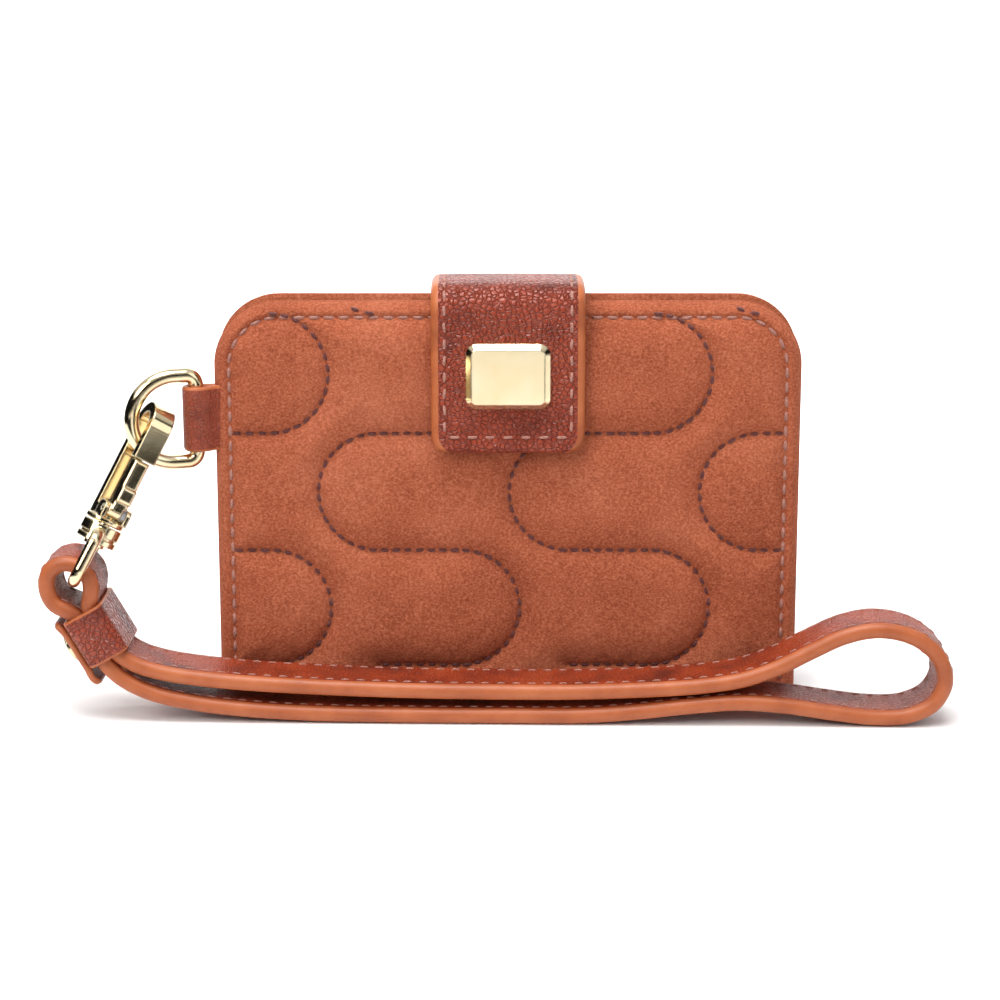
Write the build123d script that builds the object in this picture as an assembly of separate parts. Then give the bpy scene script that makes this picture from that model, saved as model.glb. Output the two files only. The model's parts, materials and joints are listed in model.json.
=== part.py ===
"""Quilted bifold wristlet wallet: padded covers, snap tab, card slots, zipped coin pocket and strap.

Millimetres. +Z up, the front faces -Y, the origin is at the middle of the flat spine's underside.
Both covers lean towards each other, so the wallet is thickest at its spine.
"""
import math
import os

from build123d import *

os.makedirs("parts", exist_ok=True)

# ---- wallet ----
W = 115.0            # width
H = 80.0             # height, spine to top edge
T_FRONT = 10.0       # front face ahead of the origin, at the spine
T_BACK = 10.0        # back face behind the origin, at the spine
R_TOP = 12.5         # rounded upper corners
R_BOT = 3.0          # corners at the spine
Y_FOLD = -5.05       # fold line between the front half and the spine panel
LEAN_F = 2.2         # front half leans back, degrees
LEAN_B = 1.5         # back cover leans forward, degrees
SKIN = 1.2           # suede plus backing, thickness of a cover outside its wadding
COVER_F = 3.1        # padded front cover
COVER_B = 4.6        # padded back cover
LINING = 0.8
SPINE_T = 2.2
SLOT_T = 0.65        # card slot leather

# ---- closure tab ----
TAB_W = 30.0
TAB_END_Z = 50.6     # free end
TAB_TOP_Z = 81.75    # middle of its thickness where it crosses the top
TAB_HINGE_Y = 5.6
TAB_OUT = 1.8        # outer leather
TAB_LIN = 0.8        # lining
TAB_R = 3.4          # corners of the free end
ORN_W, ORN_H, ORN_T = 16.4, 12.8, 1.8
ORN_Z = 65.6
SNAP_Z = 58.6
SNAP_R = 6.6

# ---- D-ring and its leather loop ----
BAR = (-61.0, -6.2, 56.7)    # middle of the ring's straight bar
RING_WIRE = 1.45
RING_R = 8.6                 # big arc, centreline
RING_DEPTH = 12.9            # bar to the far side of the arc, centreline
RING_CORNER = 2.0
RING_YAW = 20.0              # the ring stands a little forward
LOOP_H = 12.9
LOOP_T = 1.2

# ---- snap hook ----
CROSS_A = 11.2               # where the ring's wire passes through the hook, out from the bar
HOOK_S = 16.4                # that point's height above the hook's flange
HOOK_T = 1.0                 # and its distance towards the hook's back
HOOK_GAP = (-2.4, 3.1)       # inner opening between gate side and back
HOOK_METAL = 2.1
HOOK_TOP = 20.6              # centre of the bend
HOOK_W = 4.4
GATE_TIP = 14.0
GATE_PIVOT = (-2.9, 2.9)
EYE_BAR = (-84.2, -18.0, 27.2)
EYE_HALF = 8.1               # eye, half width to the wire's centre
EYE_WIRE = 1.2
EYE_DROP = 12.3              # flange to the eye's bar

# ---- wrist strap ----
STRAP_W = 12.4
STRAP_T = 3.1
STRAP_Y = -18.2              # middle of the strap at the eye
STRAP_YAW = -1.2
KEEP = (-79.4, 17.5)         # middle of the keeper, x and z
KEEP_DIR = (0.49, -0.872)    # down the strap
KEEP_L = 10.4
PLY = 1.6                    # half the distance between the two plies in the keeper

# ---- zip ----
ZIP_Z = 56.2                 # underside of the teeth
ZIP_HALF = 46.0
ZIP_PITCH = 2.0
ZIP_Y = 1.55                 # middle of the teeth
SLIDER_X = -38.0


def save(shape, node):
    """Write one node; a shape that fell apart is an error."""
    solids = shape.solids()
    assert len(solids) >= 1 and shape.volume > 0, node
    export_step(shape, "parts/%s.step" % node)


def panel(w, z0, z1, y0, y1, r_top, r_bot):
    """A slab standing on z0, its lower face corners and upper corners rounded."""
    with BuildPart() as p:
        with BuildSketch(Plane.XZ.offset(-y1)) as s:
            with Locations((0, (z0 + z1) / 2)):
                Rectangle(w, z1 - z0)
            fillet(s.vertices().group_by(Axis.Y)[-1], r_top)
            if r_bot > 0:
                fillet(s.vertices().group_by(Axis.Y)[0], r_bot)
        extrude(amount=y1 - y0)
    return p.part


def box(x0, x1, y0, y1, z0, z1):
    return Pos((x0 + x1) / 2, (y0 + y1) / 2, (z0 + z1) / 2) * Box(x1 - x0, y1 - y0, z1 - z0)


def rod(p0, p1, r):
    """A round bar between two points."""
    a, b = Vector(*p0), Vector(*p1)
    plane = Plane(origin=a, z_dir=(b - a).normalized())
    return extrude(plane * Circle(r), (b - a).length)


def soften_edges(shape, edges, radius):
    """Round the edges that can be rounded, at the largest of a few radii that works."""
    for r in (radius, radius * 0.75, radius * 0.5):
        try:
            return fillet(edges, r)
        except ValueError:
            continue
    return shape


def lean_front(shape):
    return shape.rotate(Axis((0, Y_FOLD, 0), (1, 0, 0)), -LEAN_F)


def lean_back(shape):
    return shape.rotate(Axis((0, T_BACK, 0), (1, 0, 0)), LEAN_B)


def soften(shape, face_axis, lowest, radius):
    """Round the edges of the outermost face along one axis."""
    faces = shape.faces().sort_by(face_axis)
    face = faces[0] if lowest else faces[-1]
    return fillet(face.edges(), radius)


def smooth_path(points, closed, steps=6):
    """Points on a centripetal Catmull-Rom curve through the given points."""
    n = len(points)
    out = []
    spans = n if closed else n - 1
    for i in range(spans):
        if closed:
            q = [points[(i + k) % n] for k in (-1, 0, 1, 2)]
        else:
            q = [points[min(max(i + k, 0), n - 1)] for k in (-1, 0, 1, 2)]
        t = [0.0]
        for a, b in zip(q, q[1:]):
            t.append(t[-1] + max(math.dist(a, b), 1e-3) ** 0.5)
        for j in range(steps):
            u = t[1] + (t[2] - t[1]) * j / steps
            level = list(q)
            for width in (1, 2, 3):
                nxt = []
                for k in range(len(level) - 1):
                    lo, hi = (k, k + width) if width < 3 else (1, 2)
                    if width == 2:
                        lo, hi = k, k + 2
                    span = t[hi] - t[lo]
                    f = (u - t[lo]) / span
                    nxt.append(tuple(a + (b - a) * f for a, b in zip(level[k], level[k + 1])))
                level = nxt
            out.append(level[0])
    if not closed:
        out.append(tuple(points[-1]))
    return out


def offset_path(path, d, closed):
    """The path moved sideways by d."""
    n = len(path)
    out = []
    for i, p in enumerate(path):
        a = path[(i - 1) % n] if closed or i > 0 else path[i]
        b = path[(i + 1) % n] if closed or i < n - 1 else path[i]
        tx, tz = b[0] - a[0], b[1] - a[1]
        length = math.hypot(tx, tz)
        out.append((p[0] - tz / length * d, p[1] + tx / length * d))
    return out


def strip(path, thick, y0, y1):
    """A flat strip along an open path in the XZ plane."""
    left = offset_path(path, thick / 2, False)
    right = offset_path(path, -thick / 2, False)
    with BuildPart() as p:
        with BuildSketch(Plane.XZ.offset(-y1)):
            with BuildLine():
                a = Spline(*left)
                b = Spline(*right)
                Line(a @ 0, b @ 0)
                Line(a @ 1, b @ 1)
            make_face()
        extrude(amount=y1 - y0)
    return p.part


# ======================================================================= front half
y_in = Y_FOLD - 0.1
slip = panel(W - 9, 2.4, 60, y_in - SLOT_T, y_in, 3, 1.5)
lin_f = panel(W - 4, 1.0, H - 2.2, y_in - SLOT_T - 0.05 - LINING, y_in - SLOT_T - 0.05, R_TOP - 2, 1.5)
yc1 = -T_FRONT + COVER_F
cover_f = panel(W, 0.05, H - 0.8, -T_FRONT, yc1, R_TOP, R_BOT)
cover_f = soften(cover_f, Axis.Y, True, 1.35)
wad_f = panel(W - 9, 4.5, H - 5.5, -T_FRONT + SKIN + 0.05, yc1 - 0.05, R_TOP - 4, 2)
cover_f = cover_f - panel(W - 8.8, 4.4, H - 5.4, -T_FRONT + SKIN, yc1 + 1, R_TOP - 4, 2)

# magnetic snap, lower half, let into the padded cover
base_y0, base_y1 = -T_FRONT + 0.15, -T_FRONT + 1.95
snap_base = rod((0, base_y0, SNAP_Z), (0, base_y1, SNAP_Z), SNAP_R)
snap_base = snap_base - rod((0, base_y0 - 1, SNAP_Z), (0, base_y0 + 1.1, SNAP_Z), 3.5)
seat = rod((0, -T_FRONT - 1, SNAP_Z), (0, base_y1 + 0.02, SNAP_Z), SNAP_R + 0.03)
cover_f = cover_f - seat
wad_f = wad_f - seat

front = {"front_slip_pocket": slip, "front_lining": lin_f, "front_cover": cover_f,
         "front_wadding": wad_f, "snap_base": snap_base}
front = {k: lean_front(v) for k, v in front.items()}

# leather loop that holds the D-ring, its tongue caught inside the front cover's left edge
bx, by, bz = BAR
loop_r = RING_WIRE + 0.06
z0, z1 = bz - LOOP_H / 2, bz + LOOP_H / 2
loop = rod((bx, by, z0), (bx, by, z1), loop_r + LOOP_T)
tongue = box(bx, -W / 2 + 9, by - 0.8, by + 0.8, z0, z1)
neck = box(bx, -W / 2 - 0.25, by - 1.9, by + 1.9, z0, z1)
loop = loop + tongue + neck - rod((bx, by, z0 - 1), (bx, by, z1 + 1), loop_r)
notch = box(-W / 2 - 1, -W / 2 + 9.1, by - 0.85, by + 0.85, z0 - 0.05, z1 + 0.05)
for key in ("front_cover", "front_wadding", "front_lining"):
    front[key] = front[key] - notch
front["d_ring_loop"] = loop

# ======================================================================= back half
spine = box(-W / 2, W / 2, Y_FOLD + 0.1, T_BACK, 0, SPINE_T)
spine = fillet(spine.edges().filter_by(Axis.X).group_by(Axis.Z)[0].sort_by(Axis.Y)[-1:], 1.6)
zb = SPINE_T + 0.25
y_bi = T_BACK - COVER_B
cover_b = panel(W, zb, H, y_bi, T_BACK, R_TOP, 0.8)
cover_b = soften(cover_b, Axis.Y, False, 1.8)
wad_b = panel(W - 9, zb + 4.1, H - 5, y_bi + 0.05, T_BACK - SKIN - 0.05, R_TOP - 4, 2)
cover_b = cover_b - panel(W - 8.8, zb + 4, H - 4.9, y_bi - 1, T_BACK - SKIN, R_TOP - 4, 2)
lin_b = panel(W - 4, zb, H - 2.2, y_bi - 0.05 - LINING, y_bi - 0.05, R_TOP - 2, 0.8)
back = {"back_cover": lean_back(cover_b), "back_wadding": lean_back(wad_b),
        "back_lining": lean_back(lin_b), "spine_panel": spine}

# card slots: three stepped pockets on one panel, facing the front half
y_s = Y_FOLD + 0.15
slots = {}
for i, (top, low) in enumerate(((46.0, 8.0), (54.0, 16.0), (62.0, 24.0))):
    y0 = y_s + i * (SLOT_T + 0.05)
    slots["card_slot_%d" % (i + 1)] = panel(W - 13, low, top, y0, y0 + SLOT_T, 2, 2)
y0 = y_s + 3 * (SLOT_T + 0.05)
slots["card_panel"] = panel(W - 7, 4.0, H - 6, y0, y0 + SLOT_T, R_TOP - 3, 2)
for key, shape in slots.items():
    back[key] = lean_front(shape)
slot_back = y0 + SLOT_T      # back face of the panel at z = 0, before leaning


def lean_y(y, z):
    """Where a front-leaning face starting at y has got to at height z."""
    return y + z * math.tan(math.radians(LEAN_F))


# coin pocket: a folded pouch open at the top, closed by the zip
px = 2 * ZIP_HALF + 6
pz1 = 50.0
pouch_y0 = lean_y(slot_back, pz1) + 0.1
pouch_y1 = y_bi - LINING - 0.1 - pz1 * math.tan(math.radians(LEAN_B)) - 0.1
pouch = box(-px / 2, px / 2, pouch_y0, pouch_y1, 3.5, pz1)
pouch = fillet(pouch.edges().filter_by(Axis.Y), 2.0)
pouch = pouch - box(-px / 2 + 0.9, px / 2 - 0.9, pouch_y0 + 0.6, pouch_y1 - 0.6, 4.4, pz1 + 1)
back["coin_pocket"] = pouch

# zip tapes rise from inside the pouch and carry the teeth
tape_in = 0.32
for name, a, b in (("zip_tape_front", pouch_y0 + 0.62, ZIP_Y - tape_in),
                   ("zip_tape_back", ZIP_Y + tape_in, pouch_y1 - 0.62)):
    t = min(0.45, b - a)
    lo = a if name.endswith("front") else b - t
    back[name] = box(-ZIP_HALF, ZIP_HALF, lo, lo + t, 42.0, ZIP_Z - 0.05)
chain = box(-ZIP_HALF, ZIP_HALF, ZIP_Y - 0.3, ZIP_Y + 0.3, ZIP_Z, ZIP_Z + 1.6)
teeth = []
count = int(2 * ZIP_HALF / ZIP_PITCH)
for i in range(count):
    x = -ZIP_HALF + 0.5 * ZIP_PITCH + i * ZIP_PITCH
    side = 0.12 if i % 2 else -0.12
    teeth.append(box(x - 0.6, x + 0.6, ZIP_Y - 0.62 + side, ZIP_Y + 0.62 + side, ZIP_Z + 0.2, ZIP_Z + 1.4))
for x in (-ZIP_HALF + 0.8, ZIP_HALF - 0.8):
    teeth.append(box(x - 0.8, x + 0.8, ZIP_Y - 0.9, ZIP_Y + 0.9, ZIP_Z, ZIP_Z + 1.6))
back["zip_teeth"] = chain + teeth

# ---- slider and pull
sx, sl = SLIDER_X, 7.0
slider = box(sx - sl / 2, sx + sl / 2, ZIP_Y - 1.22, ZIP_Y + 1.22, ZIP_Z + 0.1, ZIP_Z + 3.0)
slider = fillet(slider.edges().filter_by(Axis.Y).group_by(Axis.Z)[-1], 1.0)
slider = slider - box(sx - sl, sx + sl, ZIP_Y - 0.8, ZIP_Y + 0.8, ZIP_Z - 1, ZIP_Z + 1.75)
lug = box(sx - 1.6, sx + 1.6, ZIP_Y - 1.22, ZIP_Y + 1.22, ZIP_Z + 2.9, ZIP_Z + 5.6)
lug = lug - box(sx - 3, sx + 3, ZIP_Y - 0.6, ZIP_Y + 0.6, ZIP_Z + 3.4, ZIP_Z + 6)
pivot_z = ZIP_Z + 4.6
slider = slider + lug + rod((sx, ZIP_Y - 1.2, pivot_z), (sx, ZIP_Y + 1.2, pivot_z), 0.5)
pull = box(sx, sx + 15, ZIP_Y - 0.45, ZIP_Y + 0.45, pivot_z - 1.1, pivot_z + 2.2)
pull = fillet(pull.edges().filter_by(Axis.Y).sort_by(Axis.X)[-2:], 1.2)
pull = pull + rod((sx, ZIP_Y - 0.45, pivot_z), (sx, ZIP_Y + 0.45, pivot_z), 1.1)
pull = pull - rod((sx, ZIP_Y - 1, pivot_z), (sx, ZIP_Y + 1, pivot_z), 0.56)
save(slider, "zip_slider")
save(pull, "zip_pull")

# ======================================================================= closure tab
tan_f = math.tan(math.radians(LEAN_F))


def tab_path(off):
    """The tab's side view: back end, over the top, down the front; moved outwards by off."""
    mid = (TAB_OUT + TAB_LIN + 0.4) / 2
    bend = 4.0
    y_front = -T_FRONT - 0.4 - mid
    y_top = y_front + tan_f * (TAB_TOP_Z - bend)
    pts = [(TAB_HINGE_Y, TAB_TOP_Z + off), (y_top + bend, TAB_TOP_Z + off)]
    for k in range(1, 7):
        a = math.radians(90 - (90 - LEAN_F) * k / 6)
        pts.append((y_top + bend - (bend + off) * math.cos(a), TAB_TOP_Z - bend + (bend + off) * math.sin(a)))
    lift = 0.5
    y_low = y_front + tan_f * 57.0 - off
    pts.append((y_low, 57.0))
    pts.append((y_low - 0.25 * lift + tan_f * -3.0, 54.0))
    pts.append((y_low - lift + tan_f * (TAB_END_Z - 57.0), TAB_END_Z))
    return pts


def tab_layer(inner, outer, width):
    """One layer of the tab between two offsets from its middle."""
    a, b = tab_path(inner), tab_path(outer)
    flat = lambda p: (p[0], p[1])
    with BuildPart() as p:
        with BuildSketch(Plane.YZ.offset(-width / 2)):
            with BuildLine():
                Polyline(*[flat(q) for q in a])
                Polyline(*[flat(q) for q in b])
                Line(flat(a[0]), flat(b[0]))
                Line(flat(a[-1]), flat(b[-1]))
            make_face()
        extrude(amount=width)
    shape = p.part
    ends = [e for e in shape.edges()
            if e.center().Z < TAB_END_Z + 0.2 and abs(abs(e.center().X) - width / 2) < 0.05]
    return fillet(ends, TAB_R)


half = (TAB_OUT + TAB_LIN + 0.4) / 2
tab_out = tab_layer(half - TAB_OUT, half, TAB_W)
tab_lin = tab_layer(-half, -half + TAB_LIN, TAB_W - 1.2)
bead = rod((-TAB_W / 2, TAB_HINGE_Y, TAB_TOP_Z), (TAB_W / 2, TAB_HINGE_Y, TAB_TOP_Z), half)
tab_out = tab_out + (bead - box(-50, 50, TAB_HINGE_Y, 50, TAB_TOP_Z - 9, TAB_TOP_Z - half - 1)
                     - box(-50, 50, TAB_HINGE_Y - 5, TAB_HINGE_Y, TAB_TOP_Z - 5, TAB_TOP_Z + half - TAB_OUT))
tab_lin = tab_lin - rod((-50, TAB_HINGE_Y, TAB_TOP_Z), (50, TAB_HINGE_Y, TAB_TOP_Z), half + 0.02)

# ornament: a plain bevelled plate on two posts, clinched over a thin plate inside the tab
y_face = -T_FRONT - 0.4 - 2 * half
orn = box(-ORN_W / 2, ORN_W / 2, y_face - 0.05 - ORN_T, y_face - 0.05, ORN_Z - ORN_H / 2, ORN_Z + ORN_H / 2)
orn = fillet(orn.edges().filter_by(Axis.Y), 2.2)
orn = chamfer(orn.faces().sort_by(Axis.Y)[0].edges(), 1.1)
posts = []
for x in (-5.0, 5.0):
    posts.append(rod((x, y_face - 0.1, ORN_Z), (x, y_face + TAB_OUT + 0.3, ORN_Z), 0.8))
orn = orn + posts
clinch = box(-7.0, 7.0, y_face + TAB_OUT + 0.06, y_face + TAB_OUT + 0.34, ORN_Z - 1.8, ORN_Z + 1.8)
holes = [rod((x, y_face - 1, ORN_Z), (x, y_face + 5, ORN_Z), 0.83) for x in (-5.0, 5.0)]
clinch = clinch - holes
orn, clinch = lean_front(orn), lean_front(clinch)
tab_out = tab_out - [lean_front(rod((x, y_face - 1, ORN_Z), (x, y_face + TAB_OUT + 0.1, ORN_Z), 0.83))
                     for x in (-5.0, 5.0)]

# magnetic snap, upper half, on the tab's lining
cap_y = -T_FRONT - 0.4
snap_cap = rod((0, cap_y - 0.5, SNAP_Z), (0, cap_y + 0.15, SNAP_Z), SNAP_R)
snap_cap = snap_cap + rod((0, cap_y, SNAP_Z), (0, cap_y + 0.95, SNAP_Z), 2.5)
tab_lin = tab_lin - lean_front(rod((0, cap_y - 0.52, SNAP_Z), (0, cap_y + 2, SNAP_Z), SNAP_R + 0.03))
snap_cap = lean_front(snap_cap)
for node, shape in (("closure_tab", tab_out), ("closure_tab_lining", tab_lin), ("tab_ornament", orn),
                    ("ornament_clinch_plate", clinch), ("snap_cap", snap_cap)):
    save(shape, node)

# ======================================================================= D-ring
zt, zl = bz + RING_R, bz - RING_R
a_c = RING_DEPTH - RING_R
with BuildPart() as ring_b:
    with BuildLine(Plane.XZ) as path:
        top = Line((0, zt), (-a_c, zt))
        arc = ThreePointArc((-a_c, zt), (-RING_DEPTH, bz), (-a_c, zl))
        low = Line((-a_c, zl), (0, zl))
        bar = Line((0, zl), (0, zt))
    wire = path.wires()[0]
    corners = [v for v in wire.vertices() if abs(v.X) < 1e-6]
    wire = wire.fillet_2d(RING_CORNER, corners)
    start = Plane(origin=(0, 0, bz), z_dir=(0, 0, 1))
    with BuildSketch(start):
        Circle(RING_WIRE)
    sweep(path=wire)
d_ring = ring_b.part.rotate(Axis.Z, RING_YAW).moved(Location((bx, by, 0)))
save(d_ring, "d_ring")

# ======================================================================= snap hook
yaw = math.radians(RING_YAW)
a_dir = Vector(-math.cos(yaw), -math.sin(yaw), 0)
rise = math.sqrt(RING_R ** 2 - (CROSS_A - a_c) ** 2)
cross = Vector(bx, by, bz - rise) + a_dir * CROSS_A
u = (cross - Vector(*EYE_BAR)).normalized()
radial = (CROSS_A - a_c) / RING_R
tangent = a_dir * (-rise / RING_R) + Vector(0, 0, -radial)
n = (tangent - u * tangent.dot(u)).normalized()
v = u.cross(n)
O = cross - u * HOOK_S - v * HOOK_T
hook_plane = Plane(origin=O, x_dir=n, z_dir=u)

g0, g1 = HOOK_GAP
mid, r_in = (g0 + g1) / 2, (g1 - g0) / 2
r_out = r_in + HOOK_METAL
with BuildPart() as hb:
    with BuildSketch(Plane.YZ.offset(-HOOK_W / 2)):
        with Locations((mid, HOOK_TOP)):
            Circle(r_out)
        with Locations((mid, HOOK_TOP)):
            Circle(r_in, mode=Mode.SUBTRACT)
        with Locations((mid, HOOK_TOP - r_out)):
            Rectangle(4 * r_out, 2 * r_out, mode=Mode.SUBTRACT)
        with Locations((g0 - HOOK_METAL / 2, (GATE_TIP + 0.2 + HOOK_TOP) / 2)):
            Rectangle(HOOK_METAL, HOOK_TOP - GATE_TIP - 0.2 + 0.01)
        with Locations((g1 + HOOK_METAL / 2, (1.0 + HOOK_TOP) / 2)):
            Rectangle(HOOK_METAL, HOOK_TOP - 1.0 + 0.01)
    extrude(amount=HOOK_W)
hook = hb.part
outer_edges = [e for e in hook.edges() if abs(abs(e.center().X) - HOOK_W / 2) < 1e-3
               and (e.center().Y - mid) ** 2 + (max(e.center().Z, HOOK_TOP) - HOOK_TOP) ** 2 > (r_out - 1.0) ** 2 - 2
               and e.center().Z > GATE_TIP]
hook = soften_edges(hook, outer_edges, 0.7)
flange = Pos(0, 0.3, 0.6) * Cylinder(3.9, 1.2)
flange = fillet(flange.edges(), 0.35)
base = box(-2.2, 2.2, -1.0, g1 + 1.0, 1.0, 3.4)
cheeks = [box(s * 1.95 if s > 0 else -2.85, 2.85 if s > 0 else -1.95, -4.1, 0.2, 1.0, 4.3) for s in (1, -1)]
cheeks = [fillet(c.edges().filter_by(Axis.X).group_by(Axis.Z)[-1], 1.2) for c in cheeks]
gy, gz = GATE_PIVOT
hook = hook + flange + base + cheeks
hook = hook - rod((-4, gy, gz), (4, gy, gz), 0.62) - rod((0, 0, -1), (0, 0, 2.45), 1.22)

gate = box(-1.6, 1.6, g0 - 1.9, g0 - 0.1, gz, GATE_TIP)
gate = soften_edges(gate, [e for e in gate.edges() if e.center().Y < g0 - 1.5 and e.center().Z > gz + 1], 0.7)
pad = box(-1.6, 1.6, g0 - 2.5, g0 - 1.0, 5.0, 8.2)
pad = soften_edges(pad, [e for e in pad.edges() if e.center().Y < g0 - 2.0], 0.6)
gate = gate + pad + rod((-1.85, gy, gz), (1.85, gy, gz), 1.25)
gate = gate - rod((0.9, gy, gz), (2.5, gy, gz), 1.75) - rod((-4, gy, gz), (4, gy, gz), 0.66)
gate_pin = rod((-2.85, gy, gz), (2.85, gy, gz), 0.6)
gate_spring = rod((0.98, gy, gz), (1.88, gy, gz), 1.3) - rod((0, gy, gz), (4, gy, gz), 0.72)
post = rod((0, 0, 2.4), (0, 0, -4.2), 1.2) + Pos(0, 0, -4.4) * Cylinder(2.1, 0.7)

for node, shape in (("hook_body", hook), ("hook_gate", gate), ("gate_pin", gate_pin),
                    ("gate_spring", gate_spring), ("swivel_post", post)):
    save(hook_plane.location * shape, node)

# swivel eye: a hub on the post, with the oval eye cast in one piece with it
e_y = Vector(0, 1, 0)
b_dir = (e_y - u * e_y.dot(u)).normalized()
eye_plane = Plane(origin=O, x_dir=b_dir, z_dir=u)
hub = Pos(0, 0, -2.1) * Cylinder(4.0, 3.8)
hub = hub - (Pos(0, 0, -2.6) * Cylinder(5.0, 0.5) - Pos(0, 0, -2.6) * Cylinder(3.6, 0.5))
with BuildPart() as eye_b:
    with BuildLine(Plane.XZ) as ep:
        t = 2.1
        pts = [(0, -t), (EYE_HALF - 0.1, -t), (EYE_HALF, -EYE_DROP), (-EYE_HALF, -EYE_DROP),
               (-EYE_HALF + 0.1, -t), (0, -t)]
        Polyline(*pts)
    ew = ep.wires()[0]
    ew = ew.fillet_2d(2.3, [q for q in ew.vertices() if abs(q.X) > 1])
    with BuildSketch(Plane(origin=(0, 0, -t), z_dir=(1, 0, 0))):
        Circle(EYE_WIRE)
    sweep(path=ew)
eye = hub + eye_b.part
eye = eye - Pos(0, 0, -3) * Cylinder(1.26, 9)
save(eye_plane.location * eye, "swivel_eye")

# ======================================================================= wrist strap
dx, dz = KEEP_DIR
mx, mz = -dz, dx             # across the plies, towards the upper right


def at_keeper(s, o):
    """A point s along the keeper from its middle and o across it."""
    return (KEEP[0] + dx * s + mx * o, KEEP[1] + dz * s + mz * o)


small_loop = [(-80.1, 26.0), (-80.4, 28.8), (-82.7, 31.2), (-85.4, 31.6), (-87.8, 30.2), (-88.7, 27.0),
              (-87.4, 23.6)]
lower_ply = [(-75.2, 8.9), (-69.5, 5.8), (-60, 3.6), (-48, 2.3), (-36, 1.75), (-20, 1.56), (0, 1.56), (15, 1.7),
             (26, 2.6), (36, 3.8), (45, 4.5), (54, 3.9), (63, 2.6), (71, 1.72)]
wrist_end = [(77.5, 2.1), (82.3, 4.6), (84.3, 9.0), (82.8, 14.0), (78.2, 17.8), (71.5, 19.3), (65, 18.1)]
upper_ply = [(58.5, 15.0), (52, 11.6), (45.5, 9.2), (38, 7.9), (28, 7.1), (14, 6.5), (-2, 6.4), (-20, 6.6),
             (-38, 7.2), (-52, 8.0), (-61, 8.9), (-67.5, 10.0), (-72.4, 11.6)]
right_side = [at_keeper(s, PLY) for s in (5.2, 2.6, 0, -2.6, -5.2)]
left_side = [at_keeper(s, -PLY) for s in (-5.2, -2.6, 0, 2.6, 5.2)]
STEPS = 3
centre = smooth_path(right_side + small_loop + left_side + lower_ply + wrist_end + upper_ply, True, STEPS)


def strap_face(path, closed):
    """A filled outline in the XZ plane, as wide as the strap when extruded."""
    with BuildSketch(Plane.XZ.offset(-STRAP_W / 2)) as s:
        with BuildLine():
            if closed:
                Spline(*path, periodic=True)
            else:
                edge = Spline(*path)
                Line(edge @ 1, edge @ 0)
        make_face()
    return extrude(s.sketch, STRAP_W)


def spread(path):
    return abs(sum(p[0] * q[1] - q[0] * p[1] for p, q in zip(path, path[1:] + path[:1])))


sides = [offset_path(centre, d * STRAP_T / 2, True) for d in (1, -1)]
outer_path, inner_path = sorted(sides, key=spread, reverse=True)
n_keep = len(right_side)
first, last = STEPS * (n_keep - 1), STEPS * (n_keep + len(small_loop))
strap = strap_face(outer_path, True)
strap = strap - strap_face(inner_path[first:last + 1], False)
main = inner_path[STEPS * (2 * n_keep + len(small_loop) - 1):] + inner_path[:1]
strap = strap - strap_face(main, False)

ang = math.degrees(math.atan2(dz, dx))


def keeper_block(s0, s1, o0, o1, y_half):
    """A block in the keeper's own directions: along, across and half its width."""
    blk = Pos((s0 + s1) / 2, 0, (o0 + o1) / 2) * Box(s1 - s0, 2 * y_half, o1 - o0)
    return blk.rotate(Axis.Y, -ang).moved(Location((KEEP[0], 0, KEEP[1])))


inner = PLY + STRAP_T / 2 + 0.2
keeper = keeper_block(-KEEP_L / 2, KEEP_L / 2, -inner - 0.95, inner + 0.95, STRAP_W / 2 + 1.1)
keeper = keeper - keeper_block(-KEEP_L, KEEP_L, -inner, inner, STRAP_W / 2 + 0.06)
tail_o = -(inner + 0.95 + 0.1 + 0.7)
tail_pts = [at_keeper(s, o) for s, o in ((-5.6, tail_o - 1.1), (-4.2, tail_o - 0.35), (-2.2, tail_o), (0, tail_o),
                                         (2.5, tail_o), (5.0, tail_o), (7.2, tail_o - 0.1), (9.0, tail_o + 0.5))]
tail = strip(smooth_path(tail_pts, False, 3), 1.35, -5.6, 5.6)


def keeper_rod(s, o0, o1, r):
    p0, p1 = at_keeper(s, o0), at_keeper(s, o1)
    return rod((p0[0], 0, p0[1]), (p1[0], 0, p1[1]), r)


head0 = tail_o - 0.7
rivet = keeper_rod(0.6, head0 - 1.25, head0, 3.0)
rivet = soften_edges(rivet, rivet.edges().sort_by(lambda e: e.center().X)[:1], 0.5)
rivet = rivet + keeper_rod(0.6, head0 - 0.2, -0.35, 1.1)
bore = keeper_rod(0.6, head0 - 2, -0.3, 1.13)
tail, keeper, strap = tail - bore, keeper - bore, strap - bore
for node, shape in (("wrist_strap", strap), ("strap_keeper", keeper), ("strap_tail", tail), ("strap_rivet", rivet)):
    moved = shape.rotate(Axis((EYE_BAR[0], 0, 0), (0, 0, 1)), STRAP_YAW).moved(Location((0, STRAP_Y, 0)))
    save(moved, node)

for node, shape in list(front.items()) + list(back.items()):
    save(shape, node)
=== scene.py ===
"""Looks for the quilted wristlet wallet: suede covers, pebbled leather, polished pale-gold metal."""
import json
import math
import random

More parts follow.
